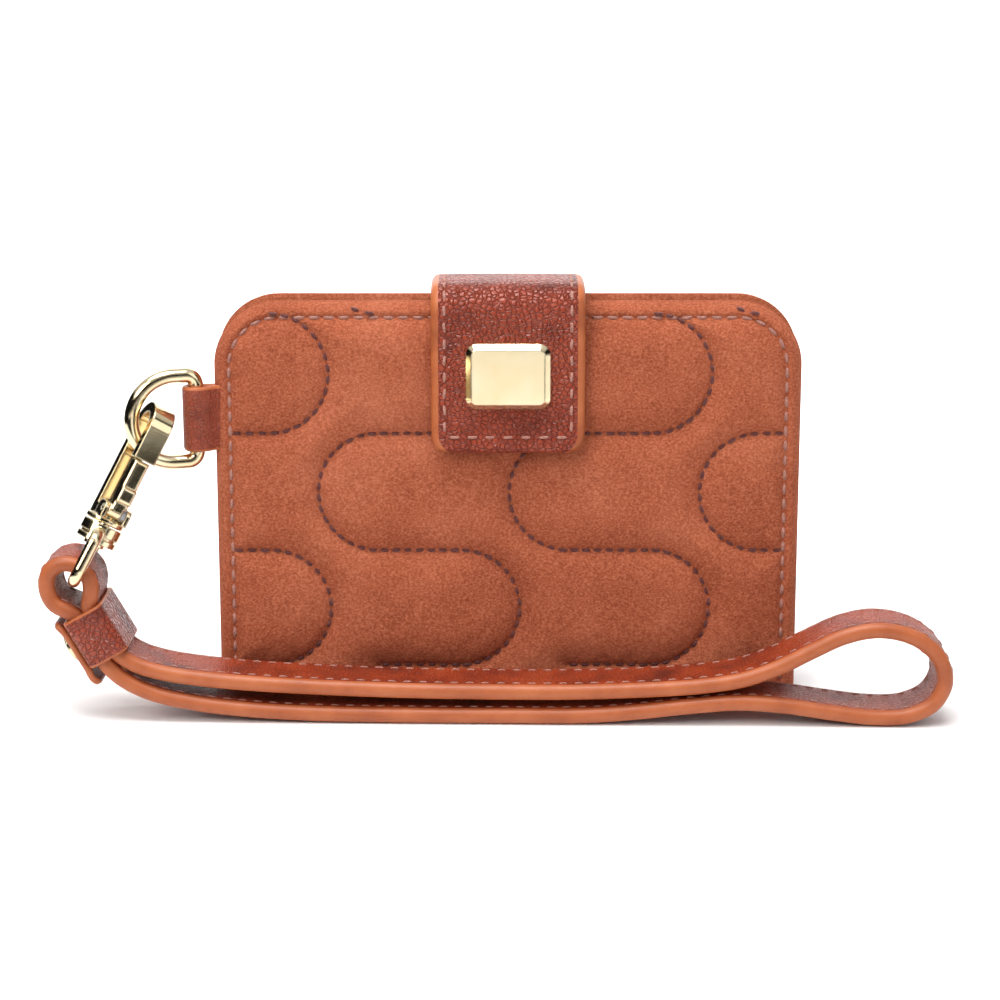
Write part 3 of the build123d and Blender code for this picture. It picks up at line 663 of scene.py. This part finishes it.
def softened(name, node, mat, body, bevel):
    """The CAD slab's own form as a separate mesh with rounded edges, for a folded leather piece."""
    src = frame["nodes"][node]
    me = src.data.copy()
    me.materials.clear()
    me.materials.append(mat)
    bm = bmesh.new()
    bm.from_mesh(me)
    bmesh.ops.remove_doubles(bm, verts=bm.verts, dist=1e-6)
    bmesh.ops.dissolve_limit(bm, angle_limit=0.02, verts=bm.verts, edges=bm.edges)
    sharp = [e for e in bm.edges if len(e.link_faces) == 2 and e.calc_face_angle(0) > 0.6]
    bmesh.ops.bevel(bm, geom=sharp, offset=bevel * MM, segments=3, affect="EDGES", profile=0.6,
                    clamp_overlap=True)
    for f in bm.faces:
        f.smooth = True
        f.material_index = 0
    bm.to_mesh(me)
    bm.free()
    me.update()
    ob = bpy.data.objects.new(name, me)
    bpy.context.scene.collection.objects.link(ob)
    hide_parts(node)
    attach(ob, body)
    return ob


softened("coin_pocket_leather", "coin_pocket", LINING, "back_half", 0.25)
softened("spine_panel_suede", "spine_panel", SUEDE, "back_half", 0.7)

# ---------------------------------------------------------------- closure tab
tf = math.tan(math.radians(LEAN_F))
T_TAB, TOP_Z, HINGE_Y, END_Z, TAB_W = 3.0, 81.75, 5.6, 50.6, 30.0
yf, bend = -10.4 - T_TAB / 2, 4.0
y_top = yf + tf * (TOP_Z - bend)
pts = [(HINGE_Y + 1.45, TOP_Z), (y_top + bend + 2, TOP_Z + 0.15)]
for k in range(0, 9):
    a = math.radians(90 - (90 - LEAN_F) * k / 8)
    pts.append((y_top + bend - bend * math.cos(a), TOP_Z - bend + bend * math.sin(a)))
yl = yf + tf * 57.0
pts += [(yl + tf * 8, 65.0), (yl, 57.0), (yl - 0.12 - 3 * tf, 54.0), (yl - 0.5 + tf * (END_Z - 57), END_Z)]
tp = resample(smooth_path(pts, False, 10), 0.45)
run = np.concatenate([[0], np.cumsum(np.linalg.norm(np.diff(tp, axis=0), axis=1))])
left = run[-1] - run
R = 3.6
half = np.where(left < R, TAB_W / 2 - R + np.sqrt(np.maximum(R * R - (R - left) ** 2, 0)), TAB_W / 2)
tr = 1.3
th = T_TAB * np.where(left < tr, np.sqrt(np.maximum(1 - (1 - left / tr) ** 2, 0.02)), 1.0)
th = th * np.sqrt(np.clip(1 - (1 - np.clip(run / 1.5, 0, 1)) ** 2, 0.03, 1))
tab3 = np.stack([np.zeros(len(tp)), tp[:, 0], tp[:, 1]], 1)
_, (tpath, _, tnor, _) = ribbon("closure_tab_leather", tab3, (-1, 0, 0), half, th, [PEBBLE, TABEDGE, LINING],
                                crown=0.12, body="closure_tab_flap",
                                replaces=("closure_tab", "closure_tab_lining"), slot="tab_leather")
spots = []
for s in (-1, 1):
    keep = (left > 3.2) & (run > 2.0)
    line = tpath[keep] + tnor[keep] * (th[keep, None] / 2 + 0.1) + np.array([s * (TAB_W / 2 - 2.7), 0, 0])
    nn = tnor[keep]
    for m, t in along_path(line, 3.2):
        i = int(np.argmin(np.linalg.norm(line - m, axis=1)))
        spots.append((m, t, nn[i]))
i = int(np.argmin(abs(left - 3.1)))
a = tpath[i] + tnor[i] * (th[i] / 2 + 0.12)
line = np.array([a + [-TAB_W / 2 + 2.9, 0, 0], a + [TAB_W / 2 - 2.9, 0, 0]])
for m, t in along_path(line, 3.1):
    spots.append((m, t, tnor[i]))
stitch_mesh("tab_stitches", spots, 2.3, 0.3, "closure_tab_flap", THREAD_PINK)

# the tab's sewn root, coming up out of the back cover's top edge to the line it turns on
root = resample(smooth_path([(4.3, 71.0), (4.35, 76.0), (4.8, 78.8), (5.5, 80.2)], False), 0.5)
ribbon("closure_tab_root_leather", np.stack([np.zeros(len(root)), root[:, 0], root[:, 1]], 1), (1, 0, 0),
       TAB_W / 2 - 0.4, 2.0, [PEBBLE, TABEDGE, PEBBLE], body="back_half")

# ---------------------------------------------------------------- leather loop of the D-ring
BAR = np.array((-61.0, -6.2, 56.7))
pts = [(-53.0, 0.85), (-55.5, 0.75), (-57.6, -0.25), (-58.7, -1.3)]
for k in range(9):
    a = math.radians(-65 - 230 * k / 8)
    pts.append((BAR[0] + 2.12 * math.cos(a), 2.12 * math.sin(a)))
pts += [(-58.7, 1.9), (-57.6, 2.0), (-55.5, 2.0), (-53.0, 2.0)]
lp = resample(smooth_path(pts, False, 6), 0.4)
loop3 = np.stack([lp[:, 0], BAR[1] + lp[:, 1], np.full(len(lp), BAR[2])], 1)
ribbon("d_ring_loop_leather", loop3, (0, 0, 1), 6.45, 1.15, [LOOPHIDE, TABEDGE, LINING], body="front_half",
       replaces=("d_ring_loop",), slot="tab_leather")

# ---------------------------------------------------------------- wrist strap, keeper and tail
STRAP_W, STRAP_T, PLY = 12.4, 3.1, 1.6
KX, KZ, DX, DZ = -79.4, 17.5, 0.49, -0.872
MX, MZ = -DZ, DX


def at_keeper(s, o):
    return (KX + DX * s + MX * o, KZ + DZ * s + MZ * o)


yaw = math.radians(-1.2)


def strap_space(x, y, z):
    """From the strap's own plane to the row frame."""
    dx = x + 84.2
    return np.array((-84.2 + dx * math.cos(yaw) - y * math.sin(yaw),
                     -18.2 + dx * math.sin(yaw) + y * math.cos(yaw), z))


small_loop = [(-80.1, 26.0), (-80.4, 28.8), (-82.7, 31.2), (-85.4, 31.6), (-87.8, 30.2), (-88.7, 27.0),
              (-87.4, 23.6)]
lower_ply = [(-75.2, 8.9), (-69.5, 5.8), (-60, 3.6), (-48, 2.3), (-36, 1.75), (-20, 1.56), (0, 1.56), (15, 1.7),
             (26, 2.6), (36, 3.8), (45, 4.5), (54, 3.9), (63, 2.6), (71, 1.72)]
wrist_end = [(77.5, 2.1), (82.3, 4.6), (84.3, 9.0), (82.8, 14.0), (78.2, 17.8), (71.5, 19.3), (65, 18.1)]
upper_ply = [(58.5, 15.0), (52, 11.6), (45.5, 9.2), (38, 7.9), (28, 7.1), (14, 6.5), (-2, 6.4), (-20, 6.6),
             (-38, 7.2), (-52, 8.0), (-61, 8.9), (-67.5, 10.0), (-72.4, 11.6)]
ring_pts = [at_keeper(s, PLY) for s in (5.2, 2.6, 0, -2.6, -5.2)] + small_loop
ring_pts += [at_keeper(s, -PLY) for s in (-5.2, -2.6, 0, 2.6, 5.2)] + lower_ply + wrist_end + upper_ply
sp = resample(smooth_path(ring_pts, True, 8), 0.7, True)
strap3 = np.array([strap_space(x, 0, z) for x, z in sp])
wide = strap_space(0, 1, 0) - strap_space(0, 0, 0)
_, (spath, _, snor, sside) = ribbon("wrist_strap_leather", strap3, wide, STRAP_W / 2, STRAP_T,
                                    [STRAPHIDE, STRAPEDGE, STRAPHIDE], closed=True, edge=0.42,
                                    body="wrist_strap_body", replaces=("wrist_strap",), slot="strap_leather")
spots = []
closed_line = np.vstack([spath, spath[:1]])
for s in (-1, 1):
    for face in (-1, 1):
        line = closed_line + np.vstack([snor, snor[:1]]) * (face * (STRAP_T / 2 + 0.03)) + sside * s * 4.1
        for m, t in along_path(line, 3.0):
            i = int(np.argmin(np.linalg.norm(line - m, axis=1))) % len(snor)
            gx = (m[0] - KX) * DX + (m[2] - KZ) * DZ
            if abs(gx) < 5.0 and m[0] < -70:
                continue
            spots.append((m, t, snor[i] * face))
stitch_mesh("strap_stitches", spots, 2.0, 0.22, "wrist_strap_body", THREAD_EDGE)

inner = PLY + STRAP_T / 2 + 0.2 + 0.47
kc = []
for cx, cy, a0 in ((1, 1, 0), (-1, 1, 90), (-1, -1, 180), (1, -1, 270)):
    r = 1.3
    for k in range(7):
        a = math.radians(a0 + 90 * k / 6)
        kc.append((cx * (inner - r) + r * math.cos(a), cy * (6.75 - r) + r * math.sin(a)))
kp = resample(np.array(kc), 0.45, True)
keeper3 = np.array([strap_space(KX + MX * o, y, KZ + MZ * o) for o, y in kp])
kdir = strap_space(DX, 0, DZ) - strap_space(0, 0, 0)
ribbon("strap_keeper_leather", keeper3, kdir, 5.2, 0.98, [PEBBLE, TABEDGE, LINING], closed=True,
       body="wrist_strap_body", replaces=("strap_keeper",), slot="tab_leather")

tail_o = -(PLY + STRAP_T / 2 + 0.2 + 0.95 + 0.8)
tail_pts = [at_keeper(s, o) for s, o in ((-5.6, tail_o - 1.1), (-4.2, tail_o - 0.35), (-2.2, tail_o),
                                         (0, tail_o), (2.5, tail_o), (5.0, tail_o), (7.2, tail_o - 0.1),
                                         (9.0, tail_o + 0.5))]
tpl = resample(smooth_path(tail_pts, False, 8), 0.4)
run2 = np.concatenate([[0], np.cumsum(np.linalg.norm(np.diff(tpl, axis=0), axis=1))])
end = np.minimum(run2, run2[-1] - run2)
th2 = 1.35 * np.where(end < 0.7, np.sqrt(np.maximum(1 - (1 - end / 0.7) ** 2, 0.03)), 1)
hw2 = 5.6 - np.where(end < 2.0, 2.0 - np.sqrt(np.maximum(4 - (2 - end) ** 2, 0)), 0)
tail3 = np.array([strap_space(x, 0, z) for x, z in tpl])
ribbon("strap_tail_leather", tail3, -wide, hw2, th2, [STRAPHIDE, STRAPEDGE, STRAPHIDE], body="wrist_strap_body",
       replaces=("strap_tail",), slot="strap_leather")

# ---------------------------------------------------------------- metal on the CAD parts
finish = {"pale_gold": GOLD, "snap_metal": SATIN, "spring_steel": STEEL}
for row in frame["record"]["subparts"]:
    ob = frame["nodes"][row["node"]]
    mat = finish.get(row["material_slot"])
    if mat is None:
        mat = {"zip_tape": TAPE, "wadding": TAPE, "suede": SUEDE}.get(row["material_slot"], LINING)
    ob.data.materials.clear()
    ob.data.materials.append(mat)

# ---------------------------------------------------------------- stage, light and camera
fn = Nodes("studio_floor")
floor_mat = fn.done(fn.ramp(fn.noise(8), [(0, grey(0.86)), (1, grey(0.9))]), 0.85, None)
verts, faces = [], []
prof = [(-1500, 0), (700, 0)] + [(700 + 400 * math.sin(a), 400 - 400 * math.cos(a))
                                 for a in np.linspace(0.1, math.pi / 2, 12)] + [(1100, 2200)]
for y, z in prof:
    verts += [(-2500, y, z), (2500, y, z)]
for i in range(len(prof) - 1):
    faces.append((2 * i, 2 * i + 1, 2 * i + 3, 2 * i + 2))
floor = make("studio_sweep", verts, faces, [floor_mat])


def area(name, loc, target, size, power, color=(1, 1, 1)):
    data = bpy.data.lights.new(name, "AREA")
    data.shape, data.size, data.size_y = "RECTANGLE", size[0], size[1]
    data.energy, data.color = power, color
    ob = bpy.data.objects.new(name, data)
    bpy.context.scene.collection.objects.link(ob)
    ob.location = loc
    ob.rotation_euler = (Vector(target) - Vector(loc)).to_track_quat("-Z", "Y").to_euler()
    return ob


area("key_left", (-0.55, -0.75, 0.75), (0, 0, 0.04), (0.5, 0.5), 5.5, (1.0, 0.98, 0.95))
area("fill_right", (0.8, -0.6, 0.45), (0, 0, 0.04), (0.5, 0.7), 1.6, (0.97, 0.985, 1.0))
area("top_soft", (-0.1, -0.22, 0.95), (0, 0, 0), (0.7, 0.4), 9.0)

area("backdrop", (0.0, 0.2, 0.7), (0, 1.0, 0.35), (1.2, 0.5), 14.0).visible_glossy = False


def flag(name, corners):
    """A black card that only polished metal sees, as used round jewellery."""
    fm = Nodes(name + "_black")
    black = fm.ramp(fm.noise(20), [(0, grey(0.004)), (1, grey(0.01))])
    mat = fm.done(black, 0.95, None, Specular_IOR_Level=0.0)
    ob = make(name, corners, [(0, 1, 2, 3)], [mat])
    ob.visible_camera = ob.visible_diffuse = ob.visible_shadow = ob.visible_transmission = False
    return ob


flag("flag_low", [(-520, -560, 2), (-62, -560, 2), (-62, -120, 2), (-520, -120, 2)])
flag("flag_low_right", [(55, -560, 2), (520, -560, 2), (520, -125, 2), (55, -125, 2)])
flag("flag_left", [(-300, -300, 4), (-300, 420, 4), (-300, 420, 170), (-300, -300, 170)])

world = bpy.data.worlds.new("studio")
bpy.context.scene.world = world
world.use_nodes = True
wt = world.node_tree
bg = wt.nodes["Background"]
geo = wt.nodes.new("ShaderNodeTexCoord")
sep = wt.nodes.new("ShaderNodeSeparateXYZ")
wt.links.new(geo.outputs["Generated"], sep.inputs[0])
ramp = wt.nodes.new("ShaderNodeValToRGB")
wt.links.new(sep.outputs["Z"], ramp.inputs["Fac"])
els = ramp.color_ramp.elements
els[0].position, els[0].color = 0.0, grey(0.9)
els[1].position, els[1].color = 1.0, grey(2.2)
for p, c in ((0.02, 1.0), (0.05, 0.03), (0.50, 0.03), (0.58, 2.0)):
    e = els.new(p)
    e.color = grey(c)
path = wt.nodes.new("ShaderNodeLightPath")
mixw = wt.nodes.new("ShaderNodeMixRGB")
wt.links.new(path.outputs["Is Glossy Ray"], mixw.inputs[0])
mixw.inputs[1].default_value = grey(0.92)
wt.links.new(ramp.outputs["Color"], mixw.inputs[2])
seen = wt.nodes.new("ShaderNodeMixRGB")
wt.links.new(path.outputs["Is Camera Ray"], seen.inputs[0])
wt.links.new(mixw.outputs[0], seen.inputs[1])
seen.inputs[2].default_value = grey(3.2)
wt.links.new(seen.outputs[0], bg.inputs["Color"])
bg.inputs["Strength"].default_value = 0.32

cam_data = bpy.data.cameras.new("camera")
cam = bpy.data.objects.new("camera", cam_data)
bpy.context.scene.collection.objects.link(cam)
cam_data.lens, cam_data.sensor_width = 85.0, 36.0
el, dist = math.radians(14.0), 0.4629
cam.location = (-0.00156, -0.010 - dist * math.cos(el), 0.04101 + dist * math.sin(el))
cam.rotation_euler = (math.pi / 2 - el, 0, 0)
cam_data.clip_start = 0.01
bpy.context.scene.camera = cam
bpy.context.scene.view_settings.view_transform = "Standard"
